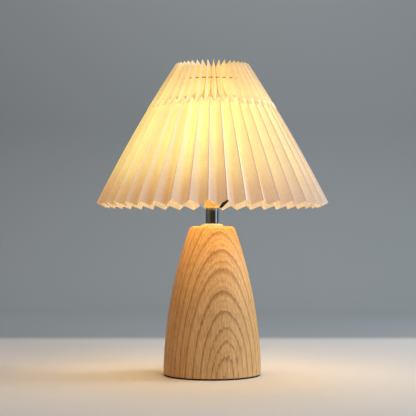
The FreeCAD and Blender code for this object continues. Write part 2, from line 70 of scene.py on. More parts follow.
noiseSpan = (0.3, 0.7)  # nearly all values of a noise lie between these


def newNode(tree, kind, inputs=None, **settings):
    node = tree.nodes.new(kind)
    for name, value in settings.items():
        setattr(node, name, value)
    for name, value in (inputs or {}).items():
        if isinstance(value, bpy.types.NodeSocket):
            tree.links.new(value, node.inputs[name])
        else:
            node.inputs[name].default_value = value
    return node


def maths(tree, operation, *values):
    return newNode(tree, "ShaderNodeMath", dict(enumerate(values)), operation=operation).outputs[0]


def product(tree, *values):
    result = values[0]
    for value in values[1:]:
        result = maths(tree, "MULTIPLY", result, value)
    return result


def vectors(tree, operation, *values, output=0):
    node = newNode(tree, "ShaderNodeVectorMath", dict(enumerate(values)), operation=operation)
    return node.outputs[output]


def mixed(tree, factor, first, second):
    inputs = {0: factor, 6: first, 7: second}
    return newNode(tree, "ShaderNodeMix", inputs, data_type="RGBA").outputs[2]


def remapped(tree, value, low, high, newLow=0.0, newHigh=1.0, smooth=False):
    # The value is held between low and high, which become newLow and newHigh
    settings = {"interpolation_type": "SMOOTHSTEP"} if smooth else {}
    inputs = {0: value, 1: low, 2: high, 3: newLow, 4: newHigh}
    return newNode(tree, "ShaderNodeMapRange", inputs, **settings).outputs[0]


def noise(tree, place, scale, detail=2.0, roughness=0.5, stretch=None):
    if stretch:
        place = vectors(tree, "MULTIPLY", place, stretch)
    inputs = {"Vector": place, "Scale": scale, "Detail": detail, "Roughness": roughness}
    return newNode(tree, "ShaderNodeTexNoise", inputs).outputs["Fac"]


def parted(tree, place):
    return newNode(tree, "ShaderNodeSeparateXYZ", {0: place}).outputs


def colourRamp(tree, value, *stops):
    node = newNode(tree, "ShaderNodeValToRGB", {0: value})
    elements = node.color_ramp.elements
    while len(elements) < len(stops):
        elements.new(0.5)
    for element, (position, shade) in zip(elements, stops):
        element.position = position
        element.color = shade
    return node.outputs[0]


def newGroup(name, inputs, outputs):
    group = bpy.data.node_groups.new(name, "ShaderNodeTree")
    for label, kind, value in inputs:
        socket = group.interface.new_socket(name=label, in_out="INPUT", socket_type=kind)
        if value is not None:
            socket.default_value = value
    for label, kind in outputs:
        group.interface.new_socket(name=label, in_out="OUTPUT", socket_type=kind)
    given = newNode(group, "NodeGroupInput").outputs
    result = newNode(group, "NodeGroupOutput").inputs
    return group, given, result


def useGroup(tree, group, inputs):
    return newNode(tree, "ShaderNodeGroup", inputs, node_tree=group).outputs


def newMaterial(name):
    material = bpy.data.materials.new(name)
    material.use_nodes = True
    tree = material.node_tree
    tree.nodes.clear()
    place = newNode(tree, "ShaderNodeTexCoord").outputs["Object"]
    return material, tree, place


def finishMaterial(tree, inputs, bumps=()):
    # Each bump is a height, a strength and a distance, and the bumps stand in a row
    for height, strength, distance in bumps:
        settings = {"Height": height, "Strength": strength, "Distance": distance}
        if "Normal" in inputs:
            settings["Normal"] = inputs["Normal"]
        inputs = {**inputs, "Normal": newNode(tree, "ShaderNodeBump", settings).outputs[0]}
    surface = newNode(tree, "ShaderNodeBsdfPrincipled", inputs)
    newNode(tree, "ShaderNodeOutputMaterial", {"Surface": surface.outputs[0]})


# Shared effects


latheLook = {"scale": 2200.0, "rings": {"detail": 3.0, "roughness": 0.6}}


def makeLatheMarks(look):
    # Fine rings about the lamp's axis, by the distance from it and the height
    group, given, result = newGroup(
        "latheMarks",
        [("Place", "NodeSocketVector", None), ("Scale", "NodeSocketFloat", look["scale"])],
        [("Marks", "NodeSocketFloat")],
    )
    across, deep, high = parted(group, given["Place"])
    squares = maths(group, "ADD", product(group, across, across), product(group, deep, deep))
    radius = maths(group, "SQRT", squares)
    around = newNode(group, "ShaderNodeCombineXYZ", {0: radius, 2: high}).outputs[0]
    group.links.new(noise(group, around, given["Scale"], **look["rings"]), result["Marks"])
    return group


speckleLook = {
    "fine": 2600.0,
    "broad": 45.0,
    "grain": {"detail": 3.0, "roughness": 0.6},
    "cloud": {"detail": 4.0, "roughness": 0.55},
    "scratchTurn": (0.5, 0.3, 0.9),
    "scratchStretch": (1.0, 9.0, 1.0),
    "scratchScale": 420.0,
    "scratchSpan": (0.66, 0.74),
}


def makeSpeckle(look):
    # Fine grain, broad clouds and thin slanting scratches, for all hard finishes
    group, given, result = newGroup(
        "speckle",
        [
            ("Place", "NodeSocketVector", None),
            ("Fine", "NodeSocketFloat", look["fine"]),
        ],
        [(name, "NodeSocketFloat") for name in ("Grain", "Cloud", "Scratch")],
    )
    place = given["Place"]
    slant = {0: place, "Rotation": look["scratchTurn"], "Scale": look["scratchStretch"]}
    slanted = newNode(group, "ShaderNodeMapping", slant).outputs[0]
    scratches = remapped(group, noise(group, slanted, look["scratchScale"]), *look["scratchSpan"])
    group.links.new(noise(group, place, given["Fine"], **look["grain"]), result["Grain"])
    group.links.new(noise(group, place, look["broad"], **look["cloud"]), result["Cloud"])
    group.links.new(scratches, result["Scratch"])
    return group


latheMarks = makeLatheMarks(latheLook)
speckle = makeSpeckle(speckleLook)


# New pieces


def addObject(name, shape, material):
    # Makes the finished mesh an object of the scene
    mesh = bpy.data.meshes.new(name)
    shape.to_mesh(mesh)
    shape.free()
    mesh.materials.append(material)
    holder = bpy.data.objects.new(name, mesh)
    scene.collection.objects.link(holder)
    return holder


def addPiece(name, shape, material, body, node, sharpAngle):
    # Makes the finished mesh a piece that stands for one CAD node and moves with its body
    piece = addObject(name, shape, material)
    piece.data.shade_smooth()
    piece.data.set_sharp_from_angle(angle=math.radians(sharpAngle))
    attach(piece, body)
    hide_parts(node)
    print(name, "made", len(piece.data.vertices))
    return piece


def spun(shape, geometry, steps):
    bmesh.ops.spin(
        shape,
        geom=geometry,
        axis=(0, 0, 1),
        cent=(0, 0, 0),
        steps=steps,
        angle=fullTurn,
        use_merge=True,
    )


def turned(outline, steps):
    # A closed outline of (radius, height) in millimetres, turned about the lamp's axis
    shape = bmesh.new()
    corners = []
    for radius, height in outline:
        corners.append(shape.verts.new((radius * millimetre, 0, height * millimetre)))
    edges = [shape.edges.new(pair) for pair in zip(corners, corners[1:] + corners[:1])]
    spun(shape, corners + edges, steps)
    bmesh.ops.recalc_face_normals(shape, faces=shape.faces)
    return shape


# Shade: one strip of paper in pleats

# The paper's own lengths are in millimetres, and the places and heights of its glow in metres
shadeLook = {
    "pleats": 42,
    "pleatWidth": 16.0,
    "thickness": 0.4,
    "sharpAngle": 50.0,
    "rim": (138.9, 205.4),  # radius and height of the outer corners
    "tip": (44.3, 372.3),
    "swell": 2.6,  # how far the outer folds bow out of a straight line
    # Along a fold, from the rim: where a lower ridge and a lower valley end, where
    # the valley has come out as the tip of a flap, and where the ridge has gone in
    "peak": 136.0,
    "throat": 140.0,
    "crest": 127.0,
    "ledge": 154.8,
    "firstAngle": -92.0,
    "seed": 29,
    "loose": 0.04,  # how far a fold strays at the rim, and how much more at the top
    "looseTop": 0.14,
    "lowerBow": 0.5,  # how far a panel bows, below and above the collar
    "lowerBowRise": 4,  # and how fast it gets there from the collar
    "upperBow": 0.35,
    "upperBowRise": 3,
    "sink": 0.01,  # how deep the upper ridges lie at the top, as a share of a pleat
    "crease": 0.4,  # how much a fold line is rounded off
    "columns": (0.0, 0.035, 0.12, 0.3, 0.5, 0.7, 0.88, 0.965),  # across one panel
    "lowerRows": (0, 0.015, 0.045, 0.1, 0.22, 0.36, 0.5, 0.65, 0.78, 0.88, 0.94, 0.975, 1),
    "turnRows": (0.035, 0.12, 0.3, 0.5, 0.7, 0.88, 0.965, 1.0),
    "upperRows": (0.05, 0.12, 0.25, 0.4, 0.55, 0.7, 0.85, 0.95, 1.0),
    # The even folds show painted shade, up to this share of a panel beside them
    "creaseShadeWidth": 0.12,
    "ridgeShadeStart": (0.05, 0.0),  # where the painted shade starts, right and left of a lower ridge: darker on the left
    "arrowSpread": 0.35,  # how much slower the painted shade fades where the upper valleys end
    "arrowHeight": 0.22,
    # Painted shade over the collar's ledges, darkest towards the ends of the upper valleys
    "ledgeFade": 0.3,
    "ledgePlace": 0.04,
    "bulb": (0.0, 0.0, 0.298),
    "glowCentre": (-0.02, -0.004, 0.298),
    "glowReach": 0.085,  # up to here the glow is full, and beyond it falls off by this power
    "glowFall": 0.5,
    "glow": 0.81,  # strength on the outside and on the inside of the paper
    "insideGlow": 0.36,
    # Heights between which the glow comes up from the rim, and the share at the rim
    "rimFade": (0.203, 0.25, 0.7),
    # Heights between which the closer folds dim the glow, and the shares before and after
    "crowded": (0.322, 0.356, 1.0, 0.85),
    # How squarely a panel faces the bulb, and the shares of the glow that go with it
    "facing": (0.0, 0.5, 0.7, 1.0),
    "dark": 0.28,  # share of the glow left on an even fold, under the painted shade
    "panelTones": (0.93, 1.07),
    "fibreTones": (0.95, 1.05),
    "cloudTones": (0.96, 1.04),
    "glowTones": (
        (0.3, paint(255, 166, 88)),
        (0.6, paint(255, 198, 114)),
        (0.8, paint(255, 221, 130)),
        (1.0, paint(255, 236, 136)),
    ),
    "insideGlowColour": paint(255, 226, 194),
    "paper": paint(210, 203, 193),
    "fibre": paint(194, 186, 175),
    "fibreSpan": (0.35, 0.7),
    "fibres": {"scale": 900.0, "detail": 5.0, "roughness": 0.65, "stretch": (1.0, 1.0, 0.35)},
    "clouds": {"scale": 60.0, "detail": 3.0},
    "roughness": (0.82, 0.95),
    "specular": 0.2,
    "fibreBump": (0.12, 0.0002),
    "cloudBump": (0.1, 0.001),
}


def makePaper(look):
    # Light that comes through the paper is painted into its emission as a glow, by the distance
    # from the bulb and by the fold
    material, tree, place = newMaterial("pleatedPaper")
    normal = newNode(tree, "ShaderNodeTexCoord").outputs["Normal"]
    toBulb = vectors(tree, "NORMALIZE", vectors(tree, "SUBTRACT", look["bulb"], place))
    towards = vectors(tree, "DOT_PRODUCT", toBulb, normal, output=1)
    distance = vectors(tree, "DISTANCE", look["glowCentre"], place, output=1)
    reached = maths(tree, "DIVIDE", look["glowReach"], distance)
    near = maths(tree, "POWER", reached, look["glowFall"])
    height = parted(tree, place)[2]
    fibres = noise(tree, place, **look["fibres"])
    clouds = noise(tree, place, **look["clouds"])
    fold = newNode(tree, "ShaderNodeAttribute", attribute_name="creaseShadePlace").outputs["Fac"]
    tone = newNode(tree, "ShaderNodeAttribute", attribute_name="panelTone").outputs["Fac"]
    received = product(
        tree,
        maths(tree, "MINIMUM", near, 1.0),
        remapped(tree, height, *look["rimFade"], smooth=True),
        remapped(tree, height, *look["crowded"], smooth=True),
        remapped(tree, maths(tree, "ABSOLUTE", towards), *look["facing"]),
        remapped(tree, fold, 0.0, look["creaseShadeWidth"], look["dark"], smooth=True),
        remapped(tree, tone, -1.0, 1.0, *look["panelTones"]),
        remapped(tree, fibres, *noiseSpan, *look["fibreTones"]),
        remapped(tree, clouds, *noiseSpan, *look["cloudTones"]),
    )
    inside = maths(tree, "GREATER_THAN", towards, 0.0)
    outerGlowColour = colourRamp(tree, received, *look["glowTones"])
    shown = remapped(tree, inside, 0.0, 1.0, look["glow"], look["insideGlow"])
    between = remapped(tree, fibres, *look["fibreSpan"])
    inputs = {
        "Base Color": mixed(tree, between, look["fibre"], look["paper"]),
        "Roughness": remapped(tree, fibres, *noiseSpan, *look["roughness"]),
        "Specular IOR Level": look["specular"],
        "Emission Color": mixed(tree, inside, outerGlowColour, look["insideGlowColour"]),
        "Emission Strength": product(tree, received, shown),
    }
    bumps = [(fibres, *look["fibreBump"]), (clouds, *look["cloudBump"])]
    finishMaterial(tree, inputs, bumps)
    return material


def foldArc(look):
    # The outer folds lie on a shallow arc: its radius, centre, first turn and length
    (rimRadius, rimHeight), (tipRadius, tipHeight) = look["rim"], look["tip"]
    run, rise = rimRadius - tipRadius, tipHeight - rimHeight
    chord = math.hypot(run, rise)
    radius = (chord**2 / 4 + look["swell"] ** 2) / (2 * look["swell"])
    back = radius - look["swell"]
    centreRadius = (rimRadius + tipRadius) / 2 - rise / chord * back
    centreHeight = (rimHeight + tipHeight) / 2 - run / chord * back
    first = math.atan2(rimHeight - centreHeight, rimRadius - centreRadius)
    last = math.atan2(tipHeight - centreHeight, tipRadius - centreRadius)
    return radius, (centreRadius, centreHeight), first, radius * (last - first)


def makeShade(look):
    # Even folds are ridges up to the pressed collar, where they go in and the odd folds come out
    arcRadius, arcCentre, firstTurn, foldLength = foldArc(look)
    folds = 2 * look["pleats"]
    halfPleat = math.pi / look["pleats"]
    spread = 1 - math.cos(halfPleat)
    peakEnd, throatEnd = look["peak"], look["throat"]
    crest, ledge = look["crest"], look["ledge"]
    chance = random.Random(look["seed"])
    sway, sink, bow, tone = ([chance.uniform(-1, 1) for _ in range(folds)] for _ in range(4))
    columnShares = look["columns"]
    columns = folds * len(columnShares)

    def onFold(fold, along, depthShare):
        turn = firstTurn + along / arcRadius
        inward = (-math.cos(turn), -math.sin(turn))
        radius = arcCentre[0] - arcRadius * inward[0]
        height = arcCentre[1] - arcRadius * inward[1]
        lean = -inward[0] * radius * spread
        reach = look["pleatWidth"] ** 2 - 2 * radius**2 * spread
        depth = lean + math.sqrt(lean**2 + reach)
        radius += inward[0] * depth * depthShare
        height += inward[1] * depth * depthShare
        loose = look["loose"] + look["looseTop"] * max(0.0, along / foldLength) ** 2
        place = fold + loose * sway[fold % folds]
        angle = math.radians(look["firstAngle"]) + place * halfPleat
        return Vector((radius * math.cos(angle), radius * math.sin(angle), height))

    def bowed(first, second, share, rise):
        side = (second - first).cross(Vector((0, 0, 1))).normalized()
        return first.lerp(second, share) + side * rise * math.sin(math.pi * share)

    def fromEven(panel, share):
        return share if panel % 2 == 0 else 1 - share

    def panelPoint(panel, share, zone, value):
        even = panel + panel % 2
        odd = panel + 1 - panel % 2
        across = fromEven(panel, share)
        if zone == "lower":
            ridge, valley = onFold(even, value * peakEnd, 0), onFold(odd, value * throatEnd, 1)
            rise = look["lowerBow"] * min(1.0, look["lowerBowRise"] * (1 - value))
            return bowed(ridge, valley, across, bow[panel] * rise)
        if zone == "upper":
            sunk = look["sink"] * (1 + sink[odd % folds]) * value
            valley = onFold(even, ledge + value * (foldLength - ledge), 1)
            ridge = onFold(odd, crest + value * (foldLength - crest), sunk)
            rise = look["upperBow"] * min(1.0, value * look["upperBowRise"])
            return bowed(valley, ridge, across, bow[panel] * rise)
        peak, throat = onFold(even, peakEnd, 0), onFold(odd, throatEnd, 1)
        crestPoint, ledgePoint = onFold(odd, crest, 0), onFold(even, ledge, 1)
        if across >= value:
            return peak + (throat - peak) * across + (crestPoint - throat) * value
        return peak + (ledgePoint - peak) * value + (crestPoint - ledgePoint) * across

    def creaseShadePlace(panel, across, zone, value):
        # How far the painted shade beside an even fold, in the collar's pockets and on its ledges,
        # has faded, as a share of a panel
        slow, fade = look["arrowSpread"], look["ledgeFade"]
        if zone == "upper":
            return across * (slow + (1 - slow) * min(1.0, value / look["arrowHeight"]))
        if zone == "turn" and across < value:
            return min(look["ledgePlace"], slow * across + fade * (1 - value))
        return look["ridgeShadeStart"][panel % 2] + across

    def columnOf(point):
        # The margin keeps a point that stands on a column's line in that column
        margin = 0.1
        turn = math.atan2(point.y, point.x) % fullTurn / fullTurn
        return int(turn * columns + margin) % columns

    rows = []
    for zone in ("lower", "turn", "upper"):
        rows += [(zone, value) for value in look[zone + "Rows"]]
    sheet = bmesh.new()
    start = [sheet.verts.new((1.0, 0.0, float(row))) for row in range(len(rows))]
    spun(sheet, start + [sheet.edges.new(pair) for pair in zip(start, start[1:])], columns)
    creaseShadeLayer = sheet.verts.layers.float.new("creaseShadePlace")
    toneLayer = sheet.faces.layers.float.new("panelTone")
    for face in sheet.faces:
        face[toneLayer] = tone[columnOf(face.calc_center_median()) // len(columnShares)]
    for vert in sheet.verts:
        zone, value = rows[round(vert.co.z)]
        panel, step = divmod(columnOf(vert.co), len(columnShares))
        share = columnShares[step]
        point = panelPoint(panel, share, zone, value)
        if step == 0:
            before = panelPoint((panel - 1) % folds, 1 - columnShares[1], zone, value)
            after = panelPoint(panel, columnShares[1], zone, value)
            point = point.lerp((before + after) / 2, look["crease"])
        vert.co = point * millimetre
        vert[creaseShadeLayer] = creaseShadePlace(panel, fromEven(panel, share), zone, value)
    bmesh.ops.recalc_face_normals(sheet, faces=sheet.faces)
    outside = max(sheet.faces, key=lambda face: face.calc_center_median().xy.length)
    if outside.normal.xy.dot(outside.calc_center_median().xy) < 0:
        bmesh.ops.reverse_faces(sheet, faces=sheet.faces)
    bmesh.ops.solidify(sheet, geom=sheet.faces, thickness=look["thickness"] * millimetre)
    paper = makePaper(look)
    sharp = look["sharpAngle"]
    shade = addPiece("shadeSheet", sheet, paper, "shade", "pleated_shade", sharp)


makeShade(shadeLook)

# Thread that gathers the top of the shade

# Lengths in millimetres
threadLook = {
    "ring": (50.5, 350.0),  # radius and height
    "lobe": 0.45,
    "waist": 0.15,
    "sides": 10,
    "twists": 132,
    "steps": 1584,
    "sharpAngle": 180.0,
    "colour": paint(206, 122, 48),
}

fibreLook = {
    "fuzz": {"scale": 5200.0, "detail": 3.0, "roughness": 0.6},
    "deep": 0.6,  # share of the colour where the fuzz is low, as painted shade between the fibres
    "roughness": 0.9,
    "specular": 0.2,
    "bump": (0.4, 0.0001),
}


def makeFibre(name, shade, look=fibreLook):
    material, tree, place = newMaterial(name)
    fuzz = noise(tree, place, **look["fuzz"])
    tone = mixed(tree, remapped(tree, fuzz, *noiseSpan), dimmed(shade, look["deep"]), shade)
    inputs = {
        "Base Color": tone,
        "Roughness": look["roughness"],
        "Specular IOR Level": look["specular"],
    }
    finishMaterial(tree, inputs, [(fuzz, *look["bump"])])
    return material


def makeGatherThread(look):
    # Two plies: an oval is turned about the axis, and then twisted about its own middle line
    ringRadius, ringHeight = (value * millimetre for value in look["ring"])
    thread = bmesh.new()
    bmesh.ops.create_circle(thread, segments=look["sides"], radius=millimetre)
    for vert in thread.verts:
        side = math.atan2(vert.co.y, vert.co.x)
        reach = (look["lobe"] + look["waist"] * math.cos(2 * side)) * millimetre
        vert.co = (ringRadius + reach * math.cos(side), 0, ringHeight + reach * math.sin(side))
    spun(thread, list(thread.verts) + list(thread.edges), look["steps"])
    for vert in thread.verts:
        turn = math.atan2(vert.co.y, vert.co.x)
        out, up = vert.co.xy.length - ringRadius, vert.co.z - ringHeight
        side, reach = math.atan2(up, out) + turn * look["twists"], math.hypot(out, up)
        radius = ringRadius + reach * math.cos(side)
        height = ringHeight + reach * math.sin(side)
        vert.co = (radius * math.cos(turn), radius * math.sin(turn), height)
    bmesh.ops.recalc_face_normals(thread, faces=thread.faces)
    material = makeFibre("gatherThread", look["colour"])
    sharp = look["sharpAngle"]
    addPiece("gatherThread", thread, material, "shade", "gather_cord", sharp)


makeGatherThread(threadLook)

# Wood

# Lengths in metres
woodLook = {
    # Towards the bark. The rings are flat, so they show as tall arches in front.
    "outward": (0.26, -0.966, -0.016),
    "ring": 0.0072,
    "phase": -4.44,
    "bark": 0.0577,  # the rings close up towards the bark
    "closing": 0.00405,
    "closeRings": 2.43,
    "sway": 0.005,
    "swayNoise": {"scale": 14.0, "detail": 1.0, "roughness": 0.4, "stretch": (1.0, 1.0, 0.6)},
    "ripple": 0.0016,
    "rippleNoise": {"scale": 420.0, "detail": 4.0, "roughness": 0.6, "stretch": (1.0, 1.0, 0.07)},
    # Lines: how many to a ring, how thick, and how much they differ from year to year
    "main": (1.0, 0.34, (0.75, 1.0)),
    "fine": (3.3, 0.5, (0.25, 0.95)),
    "lineRise": 0.94,
    "fineFade": (0.046, 0.026, 0.35, 1.0),  # depths between which the fine lines come up
    "streaks": {"scale": 620.0, "detail": 4.0, "roughness": 0.7, "stretch": (1.0, 1.0, 0.03)},
    "streakSpan": (0.4, 0.66),
    "pores": {"scale": 2300.0, "detail": 2.0, "roughness": 0.6, "stretch": (1.0, 1.0, 0.05)},
    "poreSpan": (0.52, 0.64),
    "poreInLines": (0.0, 0.8, 0.3, 1.0),  # the pores are stronger in the dark lines
    "patches": {"scale": 32.0, "detail": 2.0, "roughness": 0.5, "stretch": (1.0, 1.0, 0.3)},
    "patchSpan": (0.35, 0.7, 0.0, 0.4),
    "pale": paint(234, 190, 132),
    "warm": paint(210, 156, 92),
    "line": paint(150, 90, 44),
    "pore": paint(100, 58, 28),
    "lineShare": 0.68,
    "streakShare": 0.42,
    "poreShare": 0.6,
    "roughness": (0.0, 1.6, 0.44, 0.66),  # from plain to full of streaks and pores
    "specular": 0.35,
    "coat": 0.08,
    "coatRoughness": 0.4,
    "lineDepth": -0.3,
    "ringBump": (0.3, 0.00015),
    "streakBump": (0.1, 0.0001),
}


def centred(tree, value, reach):
    # A noise lies about one half, and this moves it to lie about nothing
    return product(tree, maths(tree, "SUBTRACT", value, 0.5), reach)


def makeWood(look):
    # Year rings as planes across the base, with streaks and pores along the grain
    material, tree, place = newMaterial("ashWood")
    sway = centred(tree, noise(tree, place, **look["swayNoise"]), look["sway"])
    ripple = centred(tree, noise(tree, place, **look["rippleNoise"]), look["ripple"])
    depth = vectors(tree, "DOT_PRODUCT", place, look["outward"], output=1)
    depth = maths(tree, "ADD", depth, maths(tree, "ADD", sway, ripple))
    fromBark = maths(tree, "SUBTRACT", depth, look["bark"])
    nearBark = maths(tree, "MINIMUM", maths(tree, "DIVIDE", fromBark, look["closing"]), 1.0)
    closed = product(tree, maths(tree, "EXPONENT", nearBark), look["closeRings"])
    even = maths(tree, "DIVIDE", depth, look["ring"])
    rings = maths(tree, "ADD", even, maths(tree, "ADD", closed, look["phase"]))

    def ringLines(count, thick, strengths):
        many = product(tree, rings, count)
        wholeYear = {"W": maths(tree, "FLOOR", many)}
        year = newNode(tree, "ShaderNodeTexWhiteNoise", wholeYear, noise_dimensions="1D")
        share = maths(tree, "FRACT", many)
        after = maths(tree, "SUBTRACT", 1.0, remapped(tree, share, 0.0, thick, smooth=True))
        before = remapped(tree, share, look["lineRise"], 1.0, smooth=True)
        strength = remapped(tree, year.outputs["Value"], 0.0, 1.0, *strengths)
        return product(tree, maths(tree, "MAXIMUM", after, before), strength)

    fineFade = remapped(tree, depth, *look["fineFade"], smooth=True)
    fine = product(tree, ringLines(*look["fine"]), fineFade)
    dark = maths(tree, "MAXIMUM", ringLines(*look["main"]), fine)
    streaks = noise(tree, place, **look["streaks"])
    streak = remapped(tree, streaks, *look["streakSpan"])
    pores = remapped(tree, noise(tree, place, **look["pores"]), *look["poreSpan"])
    pore = product(tree, pores, remapped(tree, dark, *look["poreInLines"]))
    patches = remapped(tree, noise(tree, place, **look["patches"]), *look["patchSpan"])
    base = mixed(tree, patches, look["pale"], look["warm"])
    for mark, share, tone in (
        (dark, look["lineShare"], look["line"]),
        (streak, look["streakShare"], look["line"]),
        (pore, look["poreShare"], look["pore"]),
    ):
        base = mixed(tree, product(tree, mark, share), base, tone)
    inputs = {
        "Base Color": base,
        "Roughness": remapped(tree, maths(tree, "ADD", streak, pore), *look["roughness"]),
        "Specular IOR Level": look["specular"],
        "Coat Weight": look["coat"],
        "Coat Roughness": look["coatRoughness"],
    }
    heights = maths(tree, "SUBTRACT", product(tree, dark, look["lineDepth"]), pore)
    bumps = [(heights, *look["ringBump"]), (streaks, *look["streakBump"])]
    finishMaterial(tree, inputs, bumps)
    return material


# Metals, plastics and glass

metalLook = {
    "cloudSpan": (0.35, 0.7),
    "cloudShade": 0.86,
    "cloudRoughness": 0.08,
    "scratchRoughness": 0.12,
    "scratchBump": (0.04, 0.00005),
    "latheBump": (0.12, 0.0001),
}


def makeMetal(name, shade, roughness, latheScale=0.0, wear=1.0, look=metalLook):
    material, tree, place = newMaterial(name)
    marks = useGroup(tree, speckle, {"Place": place})
    cloud = remapped(tree, marks["Cloud"], *look["cloudSpan"])
    scratched = product(tree, marks["Scratch"], look["scratchRoughness"] * wear)
    clouded = product(tree, cloud, look["cloudRoughness"] * wear)
    rough = maths(tree, "ADD", maths(tree, "ADD", roughness, scratched), clouded)
    strength, distance = look["scratchBump"]
    bumps = [(marks["Scratch"], strength * wear, distance)]
    if latheScale:
        lathe = useGroup(tree, latheMarks, {"Place": place, "Scale": latheScale})
        bumps.append((lathe["Marks"], *look["latheBump"]))
    tone = mixed(tree, cloud, shade, dimmed(shade, look["cloudShade"]))
    finishMaterial(tree, {"Base Color": tone, "Metallic": 1.0, "Roughness": rough}, bumps)
    return material


mouldedLook = {
    "cloudShade": 0.88,
    "scratchShade": 0.8,
    "scratchShare": 0.2,
    "roughness": (-0.06, 0.08),  # about the given one
    "grainDepth": 0.0001,
}


def makeMoulded(name, shade, roughness, grain=0.1, look=mouldedLook):
    material, tree, place = newMaterial(name)
    marks = useGroup(tree, speckle, {"Place": place})
    cloud = remapped(tree, marks["Cloud"], *noiseSpan)
    tone = mixed(tree, cloud, shade, dimmed(shade, look["cloudShade"]))
    scratched = product(tree, marks["Scratch"], look["scratchShare"])
    tone = mixed(tree, scratched, tone, dimmed(shade, look["scratchShade"]))
    roughest = [roughness + change for change in look["roughness"]]
    rough = remapped(tree, marks["Grain"], *noiseSpan, *roughest)
    bumps = [(marks["Grain"], grain, look["grainDepth"])]
    finishMaterial(tree, {"Base Color": tone, "Roughness": rough}, bumps)
    return material


opalLook = {
    "fine": 3200.0,
    "lit": (0.246, 0.275, 0.35, 1.0),  # heights at the neck, and the shares of the light
    "white": paint(244, 240, 230),
    "cool": paint(255, 178, 92),
    "hot": paint(255, 232, 184),
    "strength": 1.15,
    "uneven": (1.05 / 1.15, 1.0),  # shares of that strength
    "roughness": (0.3, 0.42),
    "bump": (0.05, 0.00005),
}


def makeOpal(name, look):
    # The frosted envelope is lit from inside, less so down its neck
    material, tree, place = newMaterial(name)
    marks = useGroup(tree, speckle, {"Place": place, "Fine": look["fine"]})
    lit = remapped(tree, parted(tree, place)[2], *look["lit"], smooth=True)
    uneven = remapped(tree, marks["Cloud"], *noiseSpan, *look["uneven"])
    glow = mixed(tree, lit, look["cool"], look["hot"])
    inputs = {
        "Base Color": look["white"],
        "Roughness": remapped(tree, marks["Grain"], *noiseSpan, *look["roughness"]),
        "Emission Color": mixed(tree, product(tree, lit, uneven), paint(0, 0, 0), glow),
        "Emission Strength": look["strength"],
    }
    finishMaterial(tree, inputs, [(marks["Grain"], *look["bump"])])
    return material


glassLook = {
    "tint": paint(236, 244, 244),
    "roughness": (0.02, 0.08),
    "transmission": 0.9,
    "ior": 1.5,
    "bump": (0.1, 0.0003),
}


def makeGlass(name, look):
    material, tree, place = newMaterial(name)
    marks = useGroup(tree, speckle, {"Place": place})
    inputs = {
        "Base Color": look["tint"],
        "Roughness": remapped(tree, marks["Cloud"], *noiseSpan, *look["roughness"]),
        "Transmission Weight": look["transmission"],
        "IOR": look["ior"],
    }
    finishMaterial(tree, inputs, [(marks["Cloud"], *look["bump"])])
    return material


# The roughness of each finish, and for metals the scale of the lathe marks
bySlot = {
    "pad_felt": makeFibre("padFelt", paint(22, 21, 21)),
    "ash_wood": makeWood(woodLook),
    "black_plastic": makeMoulded("blackPlastic", paint(34, 34, 35), 0.45),
    "plated_steel": makeMetal("platedSteel", paint(196, 194, 188), 0.32, latheScale=2200.0),
    "cream_plastic": makeMoulded("creamPlastic", paint(214, 204, 206), 0.34, grain=0.03),
    "chromed_steel": makeMetal("chromedSteel", paint(232, 232, 233), 0.07, wear=0.2),
    "holder_plastic": makeMoulded("holderPlastic", paint(236, 233, 224), 0.4, grain=0.06),
    "insert_ceramic": makeMoulded("insertCeramic", paint(238, 234, 226), 0.22, grain=0.02),
    "contact_brass": makeMetal("contactBrass", paint(212, 172, 92), 0.22, latheScale=2600.0),
    "carrier_paint": makeMoulded("carrierPaint", paint(238, 238, 234), 0.5, grain=0.2),
    "opal_glass": makeOpal("opalGlass", opalLook),
    "stem_glass": makeGlass("stemGlass", glassLook),
    "filament_coating": makeMoulded("filamentCoating", paint(240, 196, 84), 0.7, grain=0.3),
    "bulb_cap_metal": makeMetal("bulbCapMetal", paint(200, 200, 198), 0.24, latheScale=1800.0),
    "insulator_glass": makeMoulded("insulatorGlass", paint(26, 26, 30), 0.16, grain=0.02),
}

# Threads: the screw shell of the bulb is rolled, and the rod through the column is cut

# Lengths in millimetres. A thread comes up over one third of its pitch, and walls within the
# margin of the inner radius stay plain.
cutLook = {"fadeParts": 3, "margin": 0.2}

capLook = {
    "node": "bulb_cap",
    "outer": 13.05,
    "wall": 0.38,
    "foot": 11.4,
    "pitch": 3.629,
    "depth": 0.75,
    "plainTop": 5.2,  # smooth band above the thread
    "plainFoot": 1.4,
    "rowsPerTurn": 10,
    "steps": 72,
    "sharpAngle": 50.0,
}

rodLook = {
    "node": "threaded_tube",
    "outer": 5.0,
    "bore": 3.75,
    "pitch": 1.0,
    "depth": 0.55,
    "plainTop": 0.6,
    "plainFoot": 0.6,
    "rowsPerTurn": 6,
    "steps": 24,
    "sharpAngle": 50.0,
}


def heightsOf(look):
    low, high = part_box(look["node"])
    return low[2] / millimetre, high[2] / millimetre


def cutThread(shape, look, inner):
    # Lets the thread into every wall that stands further out than the inner radius
    foot, top = heightsOf(look)
    for vert in shape.verts:
        radius, height = vert.co.xy.length / millimetre, vert.co.z / millimetre
        if radius <= inner + cutLook["margin"]:
            continue
        room = min(height - foot - look["plainFoot"], top - look["plainTop"] - height)
        fade = max(0.0, min(1.0, room / (look["pitch"] / cutLook["fadeParts"])))
        phase = fullTurn * height / look["pitch"] - math.atan2(vert.co.y, vert.co.x)
        cut = look["depth"] * fade * (1 - math.cos(phase)) / 2
        vert.co.xy = vert.co.xy * (radius - cut) / radius
    bmesh.ops.recalc_face_normals(shape, faces=shape.faces)


def threadRows(look, low, high):
    count = round((high - low) / look["pitch"] * look["rowsPerTurn"])
    return [low + (high - low) * step / count for step in range(count + 1)]


